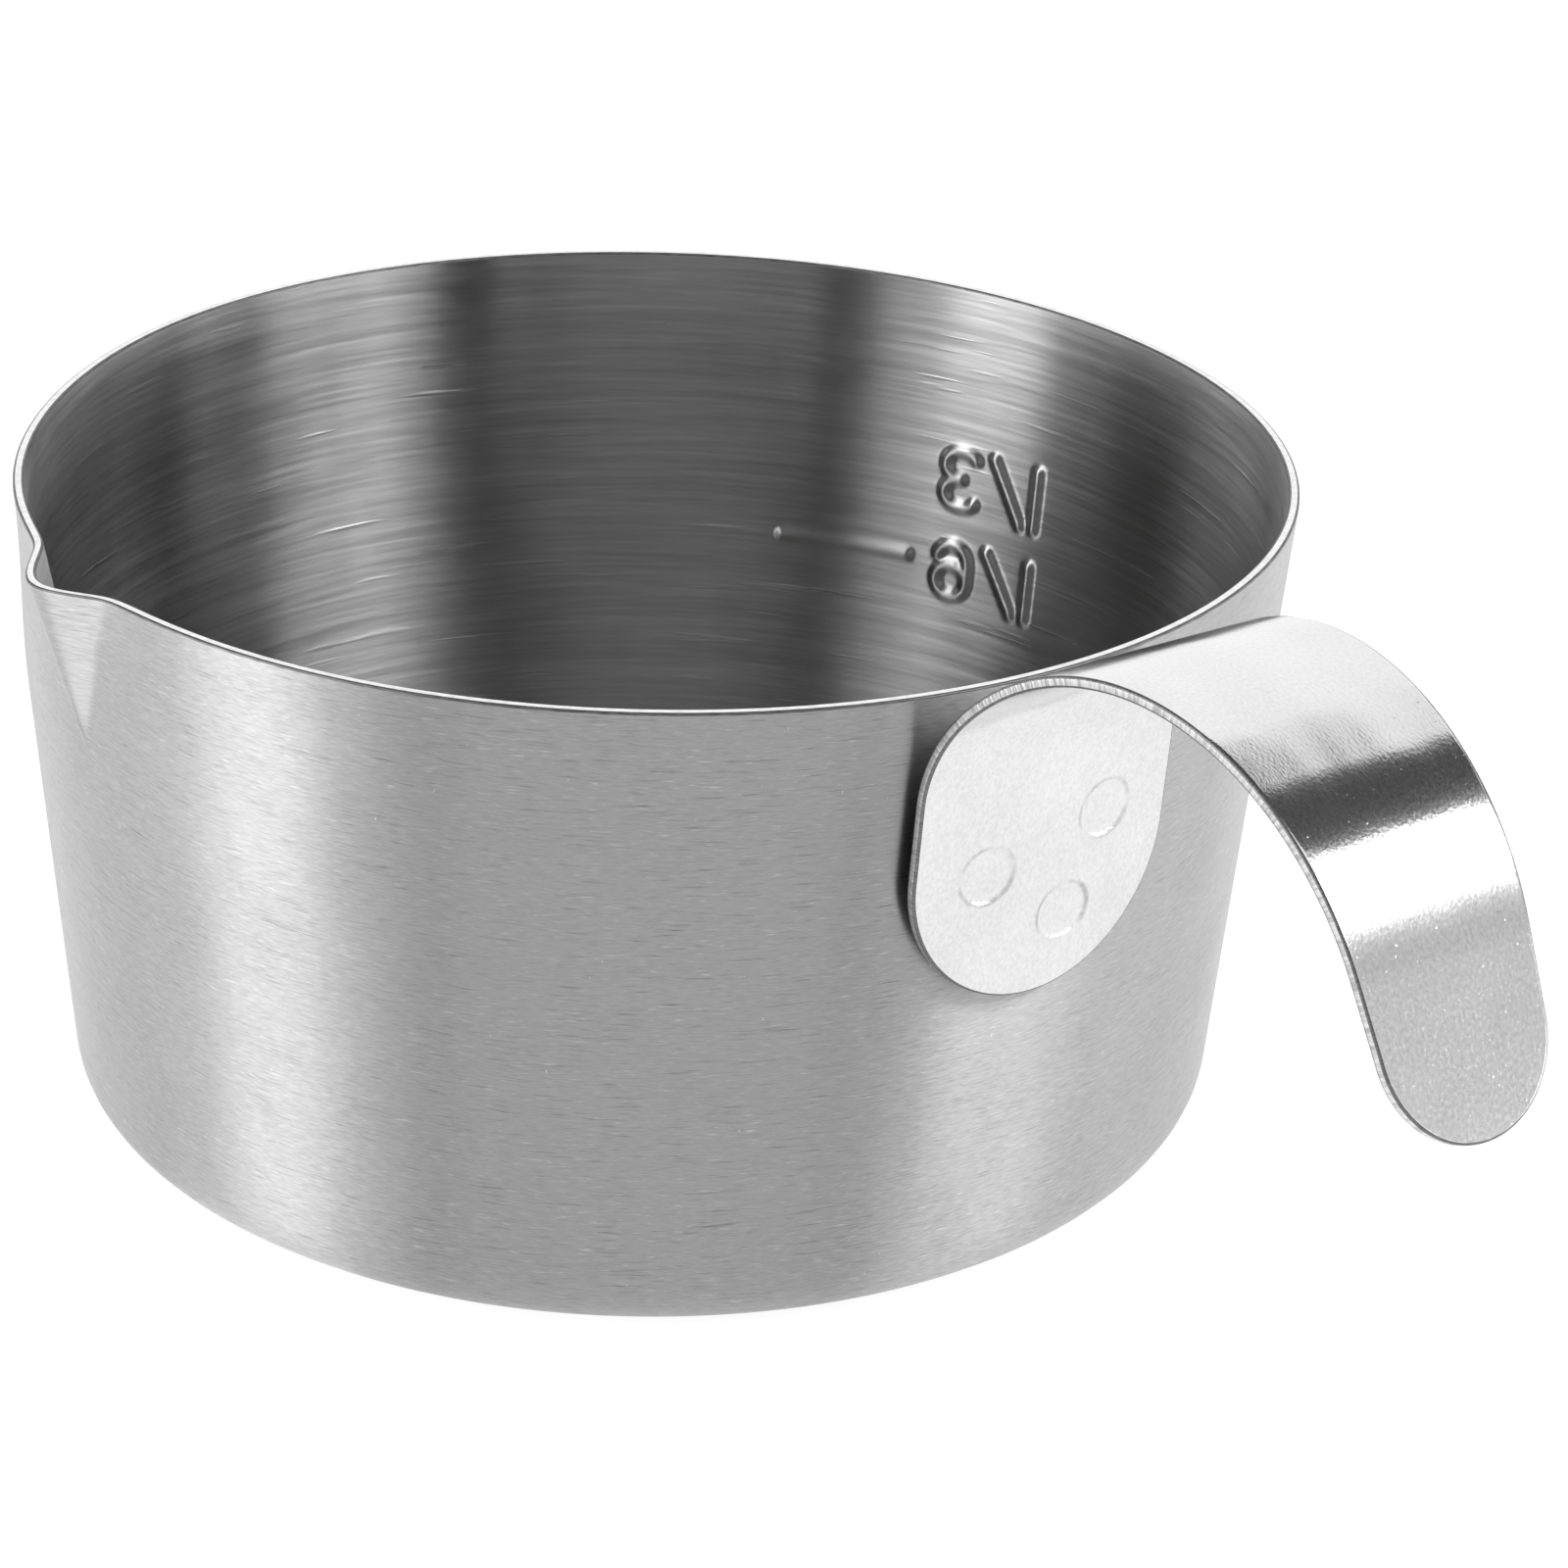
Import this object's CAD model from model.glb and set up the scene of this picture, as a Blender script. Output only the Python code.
"""Looks of a small candle melting pot: brushed steel cup with pressed graduations, bent strip handle.

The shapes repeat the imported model's dimensions in millimetres and add what its solids leave out: rounded
edges, the graduations, the weld marks and the finish of the metal.
"""

import math

import bpy
import numpy as np
from mathutils import Matrix, Vector


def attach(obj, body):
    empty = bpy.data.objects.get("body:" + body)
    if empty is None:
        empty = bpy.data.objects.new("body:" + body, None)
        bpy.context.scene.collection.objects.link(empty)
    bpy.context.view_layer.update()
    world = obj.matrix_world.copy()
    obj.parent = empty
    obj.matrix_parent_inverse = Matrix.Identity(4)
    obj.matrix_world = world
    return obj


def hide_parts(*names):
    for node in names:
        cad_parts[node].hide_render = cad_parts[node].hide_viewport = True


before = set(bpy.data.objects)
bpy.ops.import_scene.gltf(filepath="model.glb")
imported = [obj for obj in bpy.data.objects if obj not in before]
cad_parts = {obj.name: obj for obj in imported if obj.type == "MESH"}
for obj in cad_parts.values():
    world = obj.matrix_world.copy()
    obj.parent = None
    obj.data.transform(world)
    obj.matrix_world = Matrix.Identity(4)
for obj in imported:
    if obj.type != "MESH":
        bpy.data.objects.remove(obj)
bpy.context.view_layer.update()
MILLIMETRE = 0.001

# Sheet metal
SHEET = 0.5
WALL_TO_TAB = 0.3
EDGE_ROUNDING = 0.11

# Cup
CUP_HEIGHT = 31.6
RIM_RADIUS = 30.5
FOOT_RADIUS = 27.9
CORNER_RADIUS = 2.6
WALL_LEAN = math.atan2(RIM_RADIUS - FOOT_RADIUS, CUP_HEIGHT)

# Pour spout, and the stretch of wall beside it that is drawn in, with directions in degrees from the handle
SPOUT_DIRECTION = -91.8
SPOUT_REACH = 1.84
SPOUT_DIP = 0.2
SPOUT_HALF_WIDTH = 3.44
SPOUT_DROP = 8.8
SPOUT_TIP_ROUNDING = 0.44
SPOUT_SHOULDER = 0.4
DRAW_IN = 0.78
DRAW_IN_FROM_SPOUT = -41.0
DRAW_IN_SPREAD = 31.0
DRAW_IN_DROP = 10.5

# Handle strip
TAB_BOTTOM = 16.1
TAB_TOP = 27.0
TAB_HALF_WIDTH = 6.85
TAB_BOW_RADIUS = 45.0
RISE_RADIUS = 8.8
RISE_ANGLE = math.radians(47)
ARCH_RADIUS = 13.8
ARCH_ANGLE = math.radians(101.5)
GRIP_LENGTH = 7.5
GRIP_HALF_WIDTH = 4.35
STRIP_PIECES = [  # length and turn of each stretch
    ((TAB_TOP - TAB_BOTTOM) / math.cos(WALL_LEAN), 0.0),
    (RISE_RADIUS * RISE_ANGLE, -RISE_ANGLE),
    (ARCH_RADIUS * ARCH_ANGLE, -ARCH_ANGLE),
    (GRIP_LENGTH, 0.0),
]
TAB_LENGTH, RISE_LENGTH = [length for length, _ in STRIP_PIECES[:2]]
STRIP_LENGTH = sum(length for length, _ in STRIP_PIECES)
STRIP_COLUMNS = 96  # faces across the strip

# Spot welds: height up the cup and place across the tab
WELD_RADIUS = 1.3
WELD_THICKNESS = 0.24
WELD_CLEARANCE = 0.02
WELD_STEPS = 64  # faces round a weld
WELD_MARK_RADIUS = 1.4
WELD_MARK_DEPTH = 0.09
WELD_MARK_INSIDE_SHARE = 0.6  # depth inside the cup, as a share of the depth in the tab
WELD_DISH_INSIDE = 0.22  # the dish's wall starts this far inside the mark's radius
WELD_DISH_OUTSIDE = 0.02  # and ends this far outside it
WELD_LIP_WIDTH = 0.1
WELD_LIP_SHARE = 0.45
WELD_CROWN_SHARE = 0.35
WELDS = {
    "spot_weld_left": (22.7, -3.2),
    "spot_weld_right": (24.5, 3.0),
    "spot_weld_lower": (19.9, 1.2),
}

# Graduations: bottom and top of a line of marks, then each mark with the azimuths it lies between
MARK_RELIEF = 0.21
MARK_HALF_WIDTH = 0.07
MARK_SHOULDER = 0.42
LEVEL_LINE_SHARE = 0.9  # of the other marks' width and relief
MARKED_RADIUS = FOOT_RADIUS + 1.2  # radius at which an azimuth becomes a length round the wall
MARKED_STRETCH = (97.5, 139.5)
GRADUATIONS = [
    (19.75, 22.85, [
        ("one", 101.6, 101.6),
        ("slash", 103.4, 107.2),
        ("three", 109.6, 113.1),
    ]),
    (14.75, 17.65, [
        ("one", 101.6, 101.6),
        ("slash", 103.4, 107.2),
        ("six", 109.4, 113.3),
    ]),
    (16.5, 16.5, [
        ("level", 116.8, 131.3),
    ]),
]

# Places in the pieces' lists of materials
CUP_OUTSIDE, CUP_ROUNDING, CUP_RIM, CUP_INSIDE = range(4)
STRIP_FACE, STRIP_ROUNDING, STRIP_EDGE = range(3)


# ---------------------------------------------------------------- mesh helpers

def smoothstep(low, high, value):
    share = np.clip((value - low) / (high - low), 0, 1)
    return share * share * (3 - 2 * share)


def spaced(start, end, plain_step, zones):
    """Values from start to end, plain_step apart and closer inside each zone of (low, high, step)."""
    values = [start]
    while values[-1] < end - 1e-6:
        here = values[-1] + 1e-9
        steps = [step for low, high, step in zones if low <= here < high]
        edges = [low for low, _, _ in zones if low > here]
        values.append(min([here + min(steps + [plain_step]), end] + edges))
    return np.array(values)


def make_piece(name, points, faces, brush, materials, face_materials=None):
    """A smooth mesh object, from millimetres. brush is each point's place in the pattern of marks."""
    mesh = bpy.data.meshes.new(name)
    mesh.from_pydata((points * MILLIMETRE).tolist(), [], faces)
    mesh.shade_smooth()
    attribute = mesh.attributes.new("brush", "FLOAT_VECTOR", "POINT")
    attribute.data.foreach_set("vector", brush.astype(np.float32).ravel())
    for material in materials:
        mesh.materials.append(material)
    if face_materials:
        mesh.polygons.foreach_set("material_index", np.array(face_materials, dtype=np.int32))
    piece = bpy.data.objects.new(name, mesh)
    bpy.context.scene.collection.objects.link(piece)
    return piece


# ---------------------------------------------------------------- marks pressed into the sheet

def curve(centre_x, centre_y, reach_x, reach_y, start, end):
    """Points of part of an ellipse, with its angles in degrees."""
    angles = np.radians(np.linspace(start, end, 14))
    return [(centre_x + reach_x * math.cos(a), centre_y + reach_y * math.sin(a)) for a in angles]


# The strokes of each mark, as lines of points in a box one wide and one high
MARK_STROKES = {
    "one": [(0, 0), (0, 1)],
    "slash": [(0, 0), (1, 1)],
    "three": curve(0.42, 0.75, 0.58, 0.25, 145, -90) + curve(0.42, 0.25, 0.58, 0.25, 90, -145),
    "six": curve(0.5, 0.62, 0.5, 0.38, 20, 180) + curve(0.5, 0.3, 0.5, 0.3, 180, -180),
    "level": [(0, 0), (1, 0)],
}


def distance_to_line(x, y, points):
    """Distance from each place (x, y) to the nearest of the stretches between neighbouring points."""
    nearest = np.full(np.broadcast(x, y).shape, np.inf)
    for (start_x, start_y), (end_x, end_y) in zip(points, points[1:]):
        run_x = end_x - start_x
        run_y = end_y - start_y
        length_squared = run_x * run_x + run_y * run_y
        share = ((x - start_x) * run_x + (y - start_y) * run_y) / max(length_squared, 1e-12)
        share = np.clip(share, 0, 1)
        gap = np.hypot(x - start_x - share * run_x, y - start_y - share * run_y)
        nearest = np.minimum(nearest, gap)
    return nearest


def mark_relief(azimuth, height):
    """How far the graduations push the wall inwards."""
    per_degree = math.radians(MARKED_RADIUS)
    relief = np.zeros(np.broadcast(azimuth, height).shape)
    for bottom, top, marks in GRADUATIONS:
        for name, first, last in marks:
            points = [
                ((first + (last - first) * x) * per_degree, bottom + (top - bottom) * y)
                for x, y in MARK_STROKES[name]
            ]
            share = LEVEL_LINE_SHARE if name == "level" else 1.0
            gap = distance_to_line(azimuth * per_degree, height, points)
            inner = MARK_HALF_WIDTH * share
            outer = inner + MARK_SHOULDER * share
            relief = np.maximum(relief, MARK_RELIEF * share * (1 - smoothstep(inner, outer, gap)))
    return relief


def weld_mark(gap):
    """Depth of the mark that the welding tip leaves, at a distance from its middle.

    It is a shallow dish with a raised lip round it and a crown in its middle.
    """
    dish = 1 - smoothstep(WELD_MARK_RADIUS - WELD_DISH_INSIDE, WELD_MARK_RADIUS + WELD_DISH_OUTSIDE, gap)
    lip = np.exp(-((gap - WELD_MARK_RADIUS - WELD_LIP_WIDTH) / WELD_LIP_WIDTH) ** 2)
    crown = 1 - smoothstep(0, WELD_MARK_RADIUS - 2 * WELD_LIP_WIDTH, gap)
    return WELD_MARK_DEPTH * (dish - WELD_LIP_SHARE * lip - WELD_CROWN_SHARE * crown)


# ---------------------------------------------------------------- cup

def wall_radius(height):
    return FOOT_RADIUS + height * math.tan(WALL_LEAN)


def skin_rows(inset):
    """Half of the cup's section, from the floor's middle to just under the rim, as (radius, height)."""
    corner_radius = CORNER_RADIUS - inset
    corner_centre = FOOT_RADIUS - CORNER_RADIUS * math.tan(math.pi / 4 - WALL_LEAN / 2)
    rows = [(radius, inset) for radius in np.linspace(0, corner_centre, 10)[:-1]]
    for angle in np.linspace(-math.pi / 2, -WALL_LEAN, 9):
        radius = corner_centre + corner_radius * math.cos(angle)
        rows.append((radius, CORNER_RADIUS + corner_radius * math.sin(angle)))
    graduated = (14.0, 24.0, 0.17)
    welded = (18.0, 26.2, 0.2)
    above = (26.2, CUP_HEIGHT, 0.4)
    heights = spaced(rows[-1][1], CUP_HEIGHT - EDGE_ROUNDING, 1.0, [graduated, welded, above])[1:]
    slant = inset / math.cos(WALL_LEAN)
    rows += [(wall_radius(height) - slant, height) for height in heights]
    return rows


def rim_rows():
    """The rounded cut edge between the two skins."""
    top = CUP_HEIGHT - EDGE_ROUNDING
    outer_centre = wall_radius(top) - EDGE_ROUNDING
    inner_centre = wall_radius(top) - SHEET / math.cos(WALL_LEAN) + EDGE_ROUNDING
    rows = []
    for centre, angles in ((outer_centre, (30, 60, 90)), (inner_centre, (90, 120, 150))):
        for angle in np.radians(angles):
            radius = centre + EDGE_ROUNDING * math.cos(angle)
            rows.append((radius, top + EDGE_ROUNDING * math.sin(angle)))
    return rows


def spout_press(across, height):
    """How strongly the spout shows, at a distance round the wall from its middle: 1 at the tip's rim."""
    strength = np.clip((height - CUP_HEIGHT + SPOUT_DROP) / SPOUT_DROP, 1e-6, 1)
    share = np.abs(across) / (SPOUT_HALF_WIDTH * strength)
    rounding = SPOUT_TIP_ROUNDING
    fall = (np.hypot(share, rounding) - rounding) / (math.hypot(1, rounding) - rounding)
    rest = 1 - fall
    return strength * (rest + np.hypot(rest, SPOUT_SHOULDER)) / (1 + math.hypot(1, SPOUT_SHOULDER))


def drawn_in(from_spout, height):
    """How far the wall is drawn in, at an angle from the spout."""
    rise = smoothstep(CUP_HEIGHT - DRAW_IN_DROP, CUP_HEIGHT, height)
    return DRAW_IN * rise * np.exp(-((from_spout - DRAW_IN_FROM_SPOUT) / DRAW_IN_SPREAD) ** 2)


def cup_columns():
    """Azimuths of the cup's columns, closer at the spout, the graduations and the weld marks."""
    spout = (SPOUT_DIRECTION - 12, SPOUT_DIRECTION + 12, 0.45)
    graduated = (*MARKED_STRETCH, 0.32)
    welded = (-9, 9, 0.4)
    return spaced(-180, 180, 1.8, [spout, graduated, welded])[:-1]


def cup_shapes(section, azimuths, is_inside):
    """Each place's point, with everything pressed into the wall, and its place in the brush pattern."""
    radius = section[:, 0][:, None]
    height = section[:, 1][:, None]
    azimuth = azimuths[None, :]
    angle = np.radians(azimuth)
    on_wall = height > CORNER_RADIUS
    from_spout = (azimuth - SPOUT_DIRECTION + 180) % 360 - 180
    press = spout_press(np.radians(from_spout) * radius, height)
    reach = SPOUT_REACH * press - drawn_in(from_spout, height)
    reach = reach - on_wall * mark_relief(azimuth, height)
    for weld_height, across in WELDS.values():
        gap = np.hypot(angle * radius - across, height - weld_height)
        reach = reach + WELD_MARK_INSIDE_SHARE * (is_inside[:, None] & on_wall) * weld_mark(gap)
    placed = np.stack([
        (radius + reach) * np.cos(angle),
        (radius + reach) * np.sin(angle),
        height - SPOUT_DIP * press,
    ], axis=-1)
    path = np.cumsum(np.hypot(*np.diff(section, axis=0, prepend=[(0, section[0, 1])]).T))
    marks = np.stack([
        radius * np.cos(angle),
        radius * np.sin(angle),
        path[:, None] + 0 * angle,
    ], axis=-1)
    return placed, marks


def cup_faces(rows, columns, material_of_row):
    """Faces between the rows, and the fans round the two middles, with their materials."""
    faces = []
    face_materials = []
    last = 1 + rows * columns
    for column in range(columns):
        neighbour = (column + 1) % columns
        faces.append((0, 1 + neighbour, 1 + column))
        faces.append((last, last - columns + column, last - columns + neighbour))
        face_materials += [CUP_OUTSIDE, CUP_INSIDE]
        for row in range(rows - 1):
            start = 1 + row * columns
            above = start + columns
            faces.append((start + column, start + neighbour, above + neighbour, above + column))
            face_materials.append(material_of_row[row])
    return faces, face_materials


def cup_mesh(materials):
    outside = skin_rows(0)[1:]
    rim = rim_rows()
    inside = skin_rows(SHEET)[:0:-1]
    section = np.array(outside + rim + inside)
    azimuths = cup_columns()
    is_inside = np.arange(len(section)) >= len(outside) + len(rim)
    placed, marks = cup_shapes(section, azimuths, is_inside)

    # One point closes each skin in the middle of the floor.
    path_end = marks[-1, 0, 2] + section[-1, 0]
    points = np.concatenate([[(0, 0, 0)], placed.reshape(-1, 3), [(0, 0, SHEET)]])
    brush = np.concatenate([[(0, 0, 0)], marks.reshape(-1, 3), [(0, 0, path_end)]])
    rounding = [CUP_ROUNDING] * (len(rim) // 2)
    material_of_row = [CUP_OUTSIDE] * (len(outside) - 1) + rounding + [CUP_RIM] + rounding
    material_of_row += [CUP_INSIDE] * len(inside)
    faces, face_materials = cup_faces(len(section), len(azimuths), material_of_row)
    return make_piece("Pot_body", points, faces, brush, materials, face_materials)


# ---------------------------------------------------------------- handle strip

def follow_strip(distance):
    """Where the strip's wall-side face is, and which way it heads, a distance from the tab's end."""
    x = np.full_like(distance, wall_radius(TAB_BOTTOM) + WALL_TO_TAB / math.cos(WALL_LEAN))
    z = np.full_like(distance, TAB_BOTTOM)
    heading = np.full_like(distance, math.pi / 2 - WALL_LEAN)
    left = distance.copy()
    for length, full_turn in STRIP_PIECES:
        step = np.clip(left, 0, length)
        turn = full_turn * step / length
        chord = step * np.sinc(turn / (2 * math.pi))
        x = x + chord * np.cos(heading + turn / 2)
        z = z + chord * np.sin(heading + turn / 2)
        heading = heading + turn
        left = left - step
    return x, z, heading


def strip_points(along, across, depth):
    """Points of the strip, by distance along it, across it and deep into it from the wall-side face."""
    along, across, depth = np.broadcast_arrays(along, across, depth)
    x, z, heading = follow_strip(along.astype(float))
    flat = smoothstep(TAB_LENGTH, TAB_LENGTH + RISE_LENGTH, along)
    lift = (1 - flat) * across * across / (2 * TAB_BOW_RADIUS) - depth
    return np.stack([x - lift * np.sin(heading), across, z + lift * np.cos(heading)], axis=-1)


def strip_half_width(along):
    """Half of the strip's width, with its two round ends."""
    taper_length = STRIP_LENGTH - GRIP_HALF_WIDTH - TAB_LENGTH
    share = np.clip((along - TAB_LENGTH) / taper_length, 0, 1)
    width = TAB_HALF_WIDTH + (GRIP_HALF_WIDTH - TAB_HALF_WIDTH) * share
    for end, radius in ((along, TAB_HALF_WIDTH), (STRIP_LENGTH - along, GRIP_HALF_WIDTH)):
        inward = np.clip(radius - end, 0, radius)
        width = np.minimum(width, np.where(end < radius, np.sqrt(radius ** 2 - inward ** 2), width))
    return width


def tab_dent(along, across):
    """Depth of the weld marks in the face of the tab that shows."""
    dent = np.zeros(np.broadcast(along, across).shape)
    for height, weld_across in WELDS.values():
        weld_along = (height - TAB_BOTTOM) / math.cos(WALL_LEAN)
        dent = dent + weld_mark(np.hypot(along - weld_along, across - weld_across))
    return dent


def strip_rows():
    """Distances along the strip, closer at its round ends and in the tab."""
    tips = [(0, 0.25, 0.02), (0.25, 1.2, 0.08)]
    tips += [(STRIP_LENGTH - high, STRIP_LENGTH - low, step) for low, high, step in tips]
    welded = (1.2, 10.6, 0.14)
    return spaced(0.0, STRIP_LENGTH, 0.5, tips + [welded])


def strip_outline(along):
    """The strip's plan, out along its right side and back along its left side, tip to tip."""
    width = strip_half_width(along)
    return np.concatenate([
        np.stack([along, width], axis=-1),
        np.stack([along, -width], axis=-1)[-2:0:-1],
    ])


def edge_rings(outline):
    """The rings that make the strip's rounded edge, from its wall-side face, as plan and depth."""
    tangent = np.roll(outline, -1, axis=0) - np.roll(outline, 1, axis=0)
    outward = np.stack([-tangent[:, 1], tangent[:, 0]], axis=-1)
    outward /= np.linalg.norm(outward, axis=1)[:, None]
    quarter = np.radians([0, 30, 60, 90])
    falling = EDGE_ROUNDING * (1 - np.sin(quarter))
    rising = EDGE_ROUNDING * (1 - np.cos(quarter))
    insets = np.concatenate([falling, rising])
    depths = np.concatenate([rising, SHEET - falling])
    plan = outline[None] - insets[:, None, None] * outward[None]
    return plan, np.repeat(depths[:, None], len(outline), axis=1)


def side_faces(ring_start, size, first_fill, is_front):
    """Faces of one side of the strip, between the halves of its outermost ring."""
    middle_rows = size // 2 - 1
    inner = STRIP_COLUMNS - 1

    def row_of(row):
        fill = first_fill + (row - 1) * inner
        return [ring_start + row] + list(range(fill, fill + inner)) + [ring_start + size - row]

    faces = []
    for tip, row in ((0, row_of(1)), (middle_rows + 1, row_of(middle_rows)[::-1])):
        faces += [(ring_start + tip, two, one) for one, two in zip(row, row[1:])]
    for row in range(1, middle_rows):
        here = row_of(row)
        ahead = row_of(row + 1)
        for column in range(STRIP_COLUMNS):
            faces.append((here[column], here[column + 1], ahead[column + 1], ahead[column]))
    return faces if is_front else [face[::-1] for face in faces]


def strip_faces(rings, size, fill_size):
    """Faces of the strip's edge and of its two sides, with their materials."""
    faces = []
    face_materials = []
    for ring in range(rings - 1):
        for step in range(size):
            following = (step + 1) % size
            lower = ring * size
            upper = lower + size
            faces.append((lower + step, upper + step, upper + following, lower + following))
            face_materials.append(STRIP_EDGE if ring == rings // 2 - 1 else STRIP_ROUNDING)
    faces += side_faces(0, size, rings * size, False)
    faces += side_faces((rings - 1) * size, size, rings * size + fill_size, True)
    face_materials += [STRIP_FACE] * (len(faces) - len(face_materials))
    return faces, face_materials


def handle_mesh(materials):
    outline = strip_outline(strip_rows())
    size = len(outline)
    ring_plan, ring_depth = edge_rings(outline)
    middle = size // 2
    right = ring_plan[0, 1:middle]
    left = ring_plan[0, :middle:-1]
    share = np.arange(1, STRIP_COLUMNS)[None, :, None] / STRIP_COLUMNS
    fill_plan = right[:, None] * (1 - share) + left[:, None] * share

    # Each surface: its plan, its depth, and its depth before the weld marks are pressed in.
    back = np.zeros(fill_plan.shape[:2])
    front = np.full(fill_plan.shape[:2], SHEET)
    dented = front - tab_dent(fill_plan[..., 0], fill_plan[..., 1])
    surfaces = [(ring_plan, ring_depth, ring_depth), (fill_plan, back, back), (fill_plan, dented, front)]
    points = np.concatenate([
        strip_points(plan[..., 0], plan[..., 1], depth).reshape(-1, 3) for plan, depth, _ in surfaces
    ])
    brush = np.concatenate([
        np.stack([plan[..., 1], depth, plan[..., 0]], axis=-1).reshape(-1, 3) for plan, _, depth in surfaces
    ])
    faces, face_materials = strip_faces(len(ring_plan), size, back.size)
    return make_piece("Handle_strip", points, faces, brush, materials, face_materials)


# ---------------------------------------------------------------- spot welds

def weld_mesh(node, height, across, materials):
    """The fused metal between wall and tab: a thin round plug, drawn in at its waist."""
    along = (height - TAB_BOTTOM) / math.cos(WALL_LEAN)
    top = -WELD_CLEARANCE
    bottom = top - WELD_THICKNESS
    # The side's outline, as shares of the radius and depths, mirrored to the other end.
    profile = [(0.5, top), (0.85, top), (0.97, top - 0.01), (1.0, top - 0.03), (0.95, top - 0.08)]
    profile += [(share, top + bottom - depth) for share, depth in profile[::-1]]
    around = np.linspace(0, 2 * math.pi, WELD_STEPS, endpoint=False)
    radius = WELD_RADIUS * np.array([share for share, _ in profile])[:, None]
    depth = np.array([depth for _, depth in profile])[:, None]
    rings = strip_points(along + radius * np.cos(around), across + radius * np.sin(around), depth)
    middles = strip_points(np.array([along, along]), across, np.array([top, bottom]))
    points = np.concatenate([rings.reshape(-1, 3), middles])
    first_middle = len(profile) * WELD_STEPS
    last_ring = first_middle - WELD_STEPS
    faces = []
    for step in range(WELD_STEPS):
        following = (step + 1) % WELD_STEPS
        faces.append((first_middle, step, following))
        faces.append((first_middle + 1, last_ring + following, last_ring + step))
        for ring in range(len(profile) - 1):
            lower = ring * WELD_STEPS
            upper = lower + WELD_STEPS
            faces.append((lower + step, upper + step, upper + following, lower + following))
    return make_piece(node.replace("spot", "Spot"), points, faces, points, materials)


# ---------------------------------------------------------------- materials

class Nodes:
    """Short ways to add and link the nodes of one material."""

    def __init__(self, name):
        self.material = bpy.data.materials.new(name)
        self.material.use_nodes = True
        self.tree = self.material.node_tree
        self.shader = self.tree.nodes["Principled BSDF"]

    def add(self, kind, **settings):
        node = self.tree.nodes.new(kind)
        for key, value in settings.items():
            setattr(node, key, value)
        return node

    def link(self, output, target):
        self.tree.links.new(output, target)

    def noise(self, coordinates, scale, place):
        """Noise stretched by a scale for each direction of the coordinates."""
        mapping = self.add("ShaderNodeMapping")
        mapping.inputs["Location"].default_value = (place, place, place)
        mapping.inputs["Scale"].default_value = scale
        self.link(coordinates, mapping.inputs["Vector"])
        noise = self.add("ShaderNodeTexNoise")
        noise.inputs["Scale"].default_value = 1.0
        noise.inputs["Detail"].default_value = 2.0
        self.link(mapping.outputs["Vector"], noise.inputs["Vector"])
        return noise.outputs["Fac"]

    def remap(self, value, from_low, from_high, to_low, to_high):
        node = self.add("ShaderNodeMapRange")
        node.inputs["From Min"].default_value = from_low
        node.inputs["From Max"].default_value = from_high
        node.inputs["To Min"].default_value = to_low
        node.inputs["To Max"].default_value = to_high
        self.link(value, node.inputs["Value"])
        return node.outputs["Result"]

    def scaled_sum(self, start, terms):
        """start plus each output times its factor."""
        total = start
        for output, factor in terms:
            node = self.add("ShaderNodeMath", operation="MULTIPLY_ADD")
            self.link(output, node.inputs[0])
            node.inputs[1].default_value = factor
            if isinstance(total, float):
                node.inputs[2].default_value = total
            else:
                self.link(total, node.inputs[2])
            total = node.outputs["Value"]
        return total


# Layers of marks in the metal. Each is noise with a fineness per millimetre in the brush directions, cut
# to a range, that adds to the tone, the roughness and the relief (in millimetres).
GRAIN = dict(scale=(1.8, 1.8, 16), cut=(0.3, 0.7), tone=0.12, roughness=0.05, relief=0.0015)
DARK_FLECKS = dict(scale=(0.5, 0.5, 14), cut=(0.6, 0.75), tone=-0.12, roughness=0.04, relief=-0.003)
BRIGHT_FLECKS = dict(scale=(1.2, 1.2, 13), cut=(0.62, 0.76), tone=0.14, roughness=-0.04, relief=0.003)
NICKS = dict(scale=(5, 5, 1.6), cut=(0.76, 0.79), tone=0.2, roughness=-0.05, relief=0.003)
CLOUDS = dict(scale=(0.22, 0.22, 0.16), cut=(0.3, 0.7), tone=0.05, roughness=0.04, relief=0)
FINE_LINES = dict(scale=(0.14, 0.14, 5), cut=(0.3, 0.7), tone=0.03, roughness=0.02, relief=0.0006)
DRAW_BANDS = dict(scale=(0.07, 0.07, 1.1), cut=(0.3, 0.7), tone=0.03, roughness=0.06, relief=0.035)
DRAW_STREAKS = dict(scale=(0.2, 0.2, 3), cut=(0.4, 0.75), tone=0.04, roughness=-0.03, relief=0.006)
DRAW_SCORES = dict(scale=(0.12, 0.12, 2), cut=(0.66, 0.8), tone=0.1, roughness=-0.06, relief=0.03)
SATIN = dict(scale=(7, 7, 5), cut=(0.3, 0.7), tone=0.10, roughness=0.03, relief=0.0016)
ROLLING_WAVES = dict(scale=(0.16, 0.16, 0.12), cut=(0.3, 0.7), tone=-0.06, roughness=0.02, relief=0.03)
SPECKS = dict(scale=(5, 5, 5), cut=(0.7, 0.76), tone=0.06, roughness=0.2, relief=0.003)
POLISH_LINES = dict(scale=(7, 7, 0.25), cut=(0.3, 0.7), tone=0.012, roughness=0.012, relief=0.0002)
SHEAR_MARKS = dict(scale=(6, 0.7, 6), cut=(0.4, 0.65), tone=-0.3, roughness=0.1, relief=-0.01)
TRIM_MARKS = dict(scale=(3, 3, 1.5), cut=(0.4, 0.65), tone=-0.08, roughness=0.1, relief=-0.003)
HEAT = dict(scale=(1.6, 1.6, 1.6), cut=(0.35, 0.65), tone=-0.15, roughness=0.15, relief=0.01)
LAYER_SPACING = 17.0  # moves each layer to a different place in the noise

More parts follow.
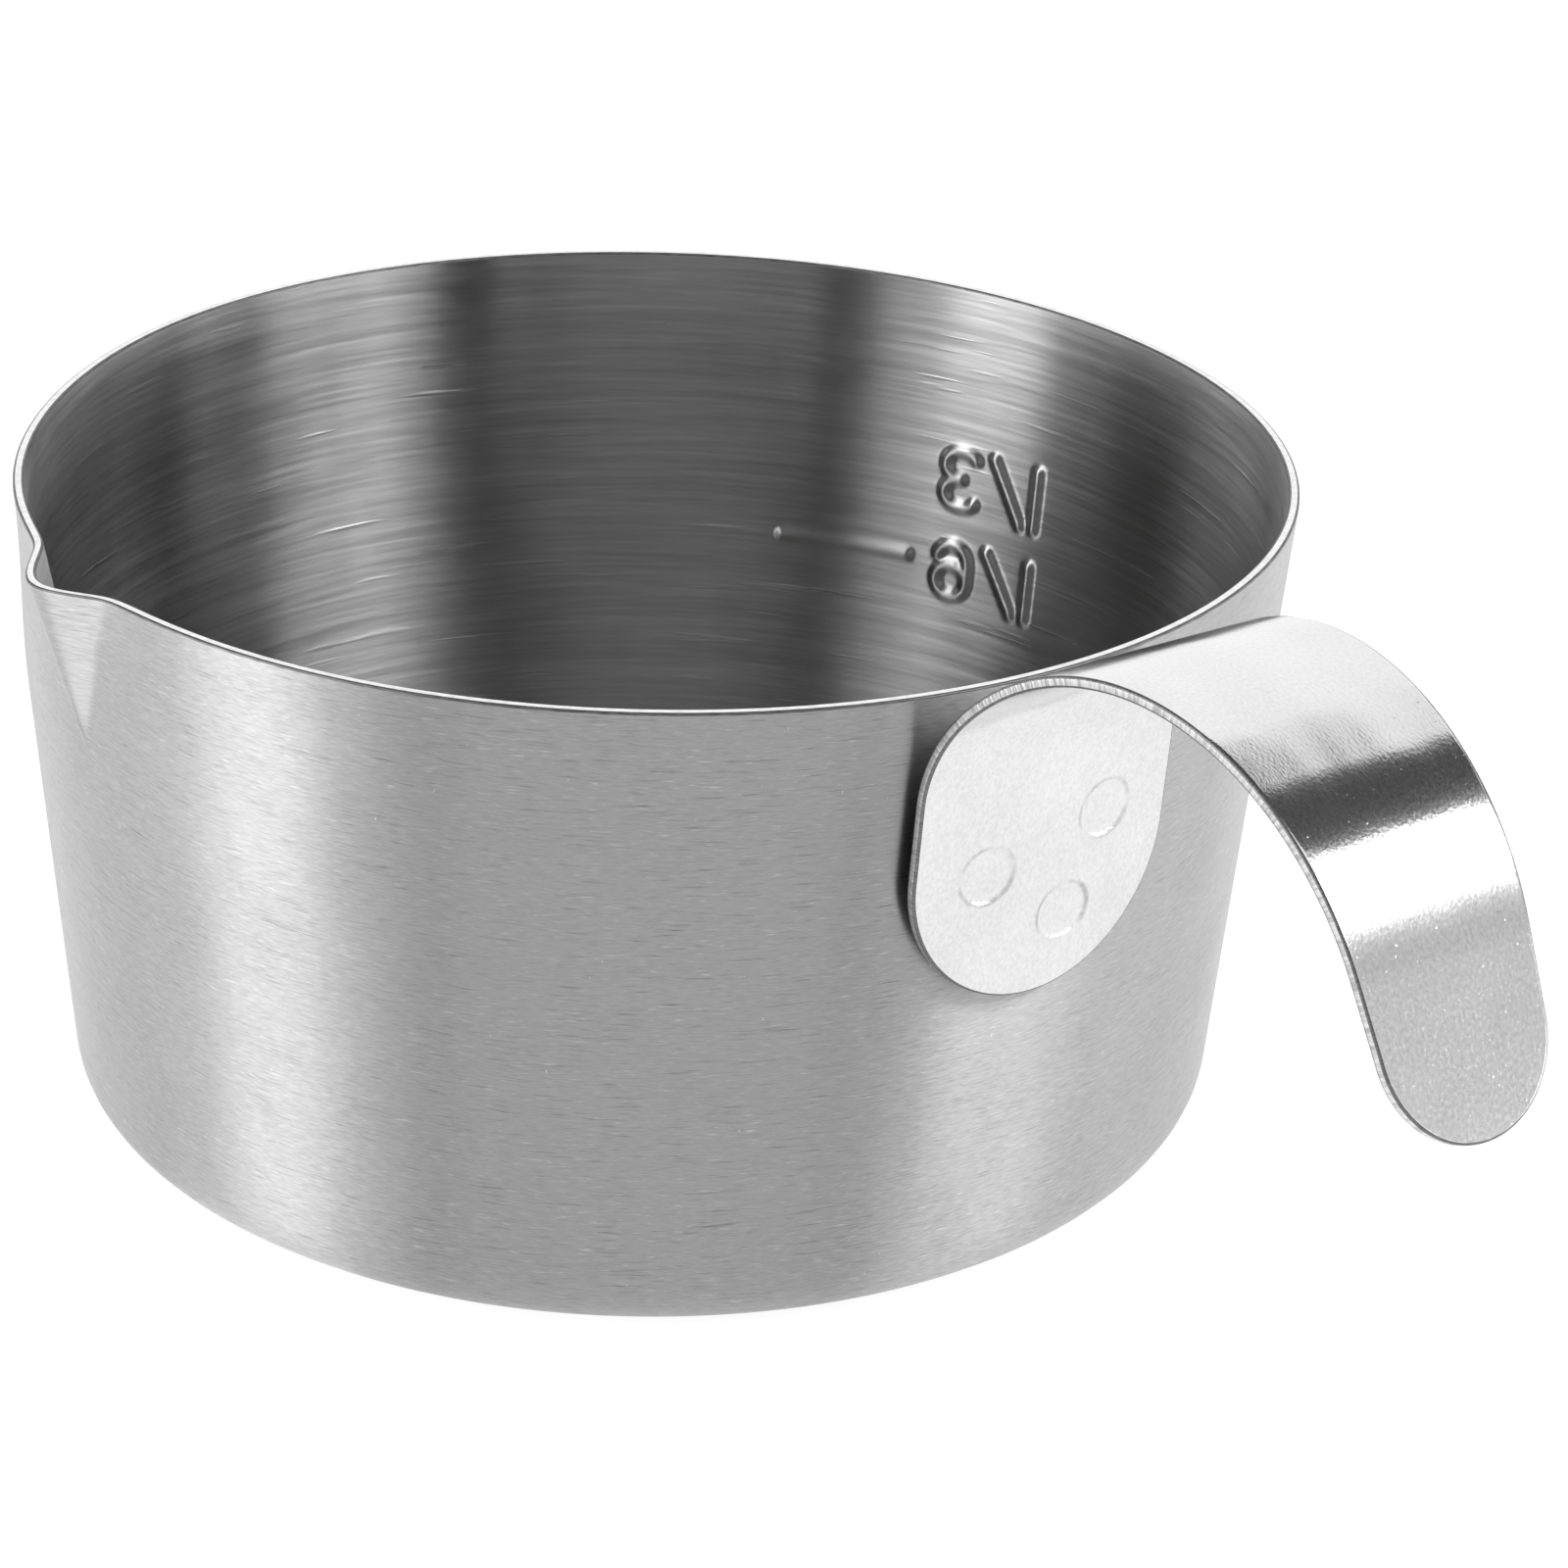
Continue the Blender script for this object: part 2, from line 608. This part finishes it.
# Satin grip: where it starts and where it is full, from the strip's end, and what it adds to the roughness
SATIN_START = 12
SATIN_FULL = 7
SATIN_ROUGHNESS = 0.12

# Dull ring round each weld: how far from its line it is full, and where it ends
RING_FULL = 0.04
RING_END = 0.16
RING_TONE = -0.26


def steel(name, tone, roughness, layers, anisotropy=0.0, axis="Z"):
    """Bare steel with layers of marks. Highlights stretch across the marks by the anisotropy."""
    nodes = Nodes(name)
    shader = nodes.shader
    shader.inputs["Metallic"].default_value = 1.0
    shader.inputs["Anisotropic"].default_value = anisotropy
    shader.inputs["Anisotropic Rotation"].default_value = 0.25
    tangent = nodes.add("ShaderNodeTangent", direction_type="RADIAL", axis=axis)
    nodes.link(tangent.outputs["Tangent"], shader.inputs["Tangent"])
    brush = nodes.add("ShaderNodeAttribute", attribute_name="brush").outputs["Vector"]
    marks = []
    for number, layer in enumerate(layers):
        noise = nodes.noise(brush, layer["scale"], LAYER_SPACING * number)
        marks.append((layer, nodes.remap(noise, *layer["cut"], 0, 1)))

    def total(start, quality):
        return nodes.scaled_sum(start, [(mark, layer[quality]) for layer, mark in marks])

    nodes.link(total(tone, "tone"), shader.inputs["Base Color"])
    nodes.link(total(roughness, "roughness"), shader.inputs["Roughness"])
    bump = nodes.add("ShaderNodeBump")
    bump.inputs["Distance"].default_value = MILLIMETRE
    nodes.link(total(0.0, "relief"), bump.inputs["Height"])
    nodes.link(bump.outputs["Normal"], shader.inputs["Normal"])
    return nodes


def outside_steel():
    layers = [GRAIN, DARK_FLECKS, BRIGHT_FLECKS, NICKS, CLOUDS, FINE_LINES]
    return steel("Steel_brushed_outside", 0.34, 0.36, layers, anisotropy=1.0).material


def inside_steel():
    layers = [DRAW_BANDS, DRAW_STREAKS, DRAW_SCORES, CLOUDS]
    return steel("Steel_drawn_inside", 0.40, 0.29, layers, anisotropy=1.0).material


def strip_steel():
    """Polished steel that turns satin towards the grip's end, with a dull ring round each weld."""
    layers = [POLISH_LINES, SATIN, SPECKS, ROLLING_WAVES]
    nodes = steel("Steel_polished_strip", 0.70, 0.10, layers, 0.4, "Y")
    tone = nodes.shader.inputs["Base Color"].links[0].from_socket
    roughness = nodes.shader.inputs["Roughness"].links[0].from_socket
    brush = nodes.add("ShaderNodeAttribute", attribute_name="brush").outputs["Vector"]
    split = nodes.add("ShaderNodeSeparateXYZ")
    nodes.link(brush, split.inputs["Vector"])
    along = split.outputs["Z"]
    grip = nodes.remap(along, STRIP_LENGTH - SATIN_START, STRIP_LENGTH - SATIN_FULL, 0, 1)
    worn = nodes.remap(nodes.noise(brush, (0.6, 0, 0.6), 5.0), 0.4, 0.6, 0.1, 1)
    for height, across in WELDS.values():
        distance = nodes.add("ShaderNodeVectorMath", operation="DISTANCE")
        nodes.link(brush, distance.inputs[0])
        distance.inputs[1].default_value = (across, SHEET, (height - TAB_BOTTOM) / math.cos(WALL_LEAN))
        off_ring = nodes.scaled_sum(-WELD_MARK_RADIUS, [(distance.outputs["Value"], 1.0)])
        gap = nodes.add("ShaderNodeMath", operation="ABSOLUTE")
        nodes.link(off_ring, gap.inputs[0])
        ring = nodes.add("ShaderNodeMath", operation="MULTIPLY")
        nodes.link(nodes.remap(gap.outputs["Value"], RING_FULL, RING_END, 1, 0), ring.inputs[0])
        nodes.link(worn, ring.inputs[1])
        tone = nodes.scaled_sum(tone, [(ring.outputs["Value"], RING_TONE)])
    nodes.link(tone, nodes.shader.inputs["Base Color"])
    nodes.link(nodes.scaled_sum(roughness, [(grip, SATIN_ROUGHNESS)]), nodes.shader.inputs["Roughness"])
    return nodes.material


def rounded_edge_steel():
    return steel("Steel_edge_rounding", 0.11, 0.42, [GRAIN]).material


def sheared_edge_steel():
    return steel("Steel_sheared_edge", 0.72, 0.3, [SHEAR_MARKS]).material


def rim_steel():
    return steel("Steel_trimmed_rim", 0.85, 0.3, [TRIM_MARKS]).material


def weld_steel():
    return steel("Steel_weld", 0.45, 0.4, [HEAT, SPECKS]).material


# ---------------------------------------------------------------- stage, light and camera

VIEW_AZIMUTH = 55.5  # turn of the camera round the pot, 0 looking along +Y
VIEW_ELEVATION = 20.64
VIEW_DISTANCE = 209.5
VIEW_PAN = -1.78
VIEW_TILT = -4.28
VIEW_ROLL = -1.23
LENS = 101.25

# Lights, cards and floor, in metres, then how bright the floor and the world are
LIGHT_DISTANCE = 0.7
FLAG_DISTANCE = 0.9
LIGHT_AIM = Vector((0, 0, 0.018))
FLOOR_RADIUS = 4.0
FLOOR_TONE = 0.2
FLOOR_GLOW = 0.88
WORLD_RADIANCE = 1.15


def add_camera():
    """A camera that looks at the middle of the rim, then pans, tilts and rolls about its own axes."""
    elevation = math.radians(VIEW_ELEVATION)
    place = Vector((0, -math.cos(elevation), math.sin(elevation))) * VIEW_DISTANCE
    forward = -place.normalized()
    right = Vector((1, 0, 0))
    upward = right.cross(forward)
    pan = Matrix.Rotation(math.radians(VIEW_PAN), 3, upward)
    forward = pan @ forward
    right = pan @ right
    tilt = Matrix.Rotation(math.radians(VIEW_TILT), 3, right)
    forward = tilt @ forward
    upward = tilt @ upward
    roll = Matrix.Rotation(math.radians(VIEW_ROLL), 3, forward)
    right = roll @ right
    upward = roll @ upward
    turn = Matrix.Rotation(math.radians(VIEW_AZIMUTH), 3, "Z")
    facing = turn @ Matrix((right, upward, -forward)).transposed()
    place = turn @ place + Vector((0, 0, CUP_HEIGHT))
    data = bpy.data.cameras.new("Camera")
    data.lens = LENS
    data.sensor_width = 36.0
    data.clip_start = 0.01
    camera = bpy.data.objects.new("Camera", data)
    camera.matrix_world = Matrix.Translation(place * MILLIMETRE) @ facing.to_4x4()
    bpy.context.scene.collection.objects.link(camera)
    bpy.context.scene.camera = camera


def from_camera(azimuth, elevation, distance):
    """A point round the pot, with its azimuth counted from the camera, rightwards in the picture."""
    angle = math.radians(VIEW_AZIMUTH - 90 + azimuth)
    level = distance * math.cos(math.radians(elevation))
    rise = distance * math.sin(math.radians(elevation))
    return Vector((level * math.cos(angle), level * math.sin(angle), rise))


def place_facing_pot(thing, azimuth, elevation, distance):
    place = from_camera(azimuth, elevation, distance)
    facing = (place - LIGHT_AIM).to_track_quat("Z", "Y").to_matrix().to_4x4()
    thing.matrix_world = Matrix.Translation(place) @ facing
    thing.visible_camera = False
    bpy.context.scene.collection.objects.link(thing)


def span(angle, distance):
    """Length that fills an angle, in degrees, at a distance."""
    return 2 * distance * math.tan(math.radians(angle) / 2)


def add_softbox(name, azimuth, elevation, wide, high, radiance):
    """An even light that fills the angles wide and high, as seen from the pot."""
    data = bpy.data.lights.new(name, "AREA")
    data.shape = "RECTANGLE"
    data.size = span(wide, LIGHT_DISTANCE)
    data.size_y = span(high, LIGHT_DISTANCE)
    data.energy = radiance * math.pi * data.size * data.size_y
    softbox = bpy.data.objects.new(name, data)
    place_facing_pot(softbox, azimuth, elevation, LIGHT_DISTANCE)


def add_flag(name, azimuth, elevation, wide, high, tone):
    """A card of an even tone, darker than the world round it, that only the metal's reflections see."""
    half_width = span(wide, FLAG_DISTANCE) / 2
    half_height = span(high, FLAG_DISTANCE) / 2
    mesh = bpy.data.meshes.new(name)
    corners = [(-half_width, -half_height, 0), (half_width, -half_height, 0),
               (half_width, half_height, 0), (-half_width, half_height, 0)]
    mesh.from_pydata(corners, [], [(0, 1, 2, 3)])
    mesh.materials.append(glow_material(name, tone))
    flag = bpy.data.objects.new(name, mesh)
    flag.visible_diffuse = False
    flag.visible_shadow = False
    place_facing_pot(flag, azimuth, elevation, FLAG_DISTANCE)


def glow_material(name, tone):
    """A surface that reflects nothing and glows evenly."""
    nodes = Nodes(name)
    nodes.shader.inputs["Base Color"].default_value = (0, 0, 0, 1)
    nodes.shader.inputs["Specular IOR Level"].default_value = 0
    nodes.shader.inputs["Emission Color"].default_value = (tone, tone, tone, 1)
    nodes.shader.inputs["Emission Strength"].default_value = 1
    return nodes.material


def add_floor():
    """A pale light table, which keeps the shadow under the pot faint."""
    bpy.ops.mesh.primitive_circle_add(vertices=96, radius=FLOOR_RADIUS, fill_type="NGON")
    floor = bpy.context.object
    floor.name = "Floor"
    nodes = Nodes("Floor_white")
    shader = nodes.shader
    shader.inputs["Base Color"].default_value = (FLOOR_TONE, FLOOR_TONE, FLOOR_TONE, 1)
    shader.inputs["Roughness"].default_value = 0.8
    shader.inputs["Specular IOR Level"].default_value = 0
    shader.inputs["Emission Color"].default_value = (1, 1, 1, 1)
    shader.inputs["Emission Strength"].default_value = FLOOR_GLOW
    floor.data.materials.append(nodes.material)


def add_world():
    world = bpy.data.worlds.new("Studio")
    bpy.context.scene.world = world
    world.use_nodes = True
    world.node_tree.nodes["Background"].inputs["Color"].default_value = (1, 1, 1, 1)
    world.node_tree.nodes["Background"].inputs["Strength"].default_value = WORLD_RADIANCE


def add_studio():
    """Each light and card: azimuth, elevation, width and height in degrees, then its radiance."""
    bpy.context.scene.view_settings.view_transform = "Standard"
    add_floor()
    add_world()
    add_softbox("Softbox_left", -70, 24, 21, 36, 4.1)
    add_softbox("Softbox_right", 73, 37, 26, 15, 7.8)
    add_flag("Flag_front", 0, 45, 60, 75, 0.36)
    add_flag("Flag_top", 0, 88, 40, 40, 0.9)
    for side, azimuth in (("left", -1), ("right", 1)):
        add_softbox("Softbox_low_" + side, 97 * azimuth, 2.5, 82, 6, 5.6)
        add_flag("Flag_gap_" + side, 38 * azimuth, 40, 14, 75, 0.03)
        add_flag("Flag_high_" + side, 122 * azimuth, 68, 34, 30, 0.03)
    add_flag("Flag_back_left", -118, 36, 42, 48, 0.03)
    add_flag("Flag_back_right", 105, 60, 20, 36, 0.08)
    add_flag("Flag_side_right", 122, 25, 34, 28, 0.03)
    add_flag("Flag_under", 76, 14.5, 36, 30, 0.47)


# ---------------------------------------------------------------- assembly

def stand_in(piece, node):
    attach(piece, "root")
    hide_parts(node)


round_edge = rounded_edge_steel()
cup = cup_mesh([outside_steel(), round_edge, rim_steel(), inside_steel()])
stand_in(cup, "pot_body")
stand_in(handle_mesh([strip_steel(), round_edge, sheared_edge_steel()]), "handle")
weld_material = weld_steel()
for weld_node, (weld_height, weld_across) in WELDS.items():
    stand_in(weld_mesh(weld_node, weld_height, weld_across, [weld_material]), weld_node)
add_camera()
add_studio()
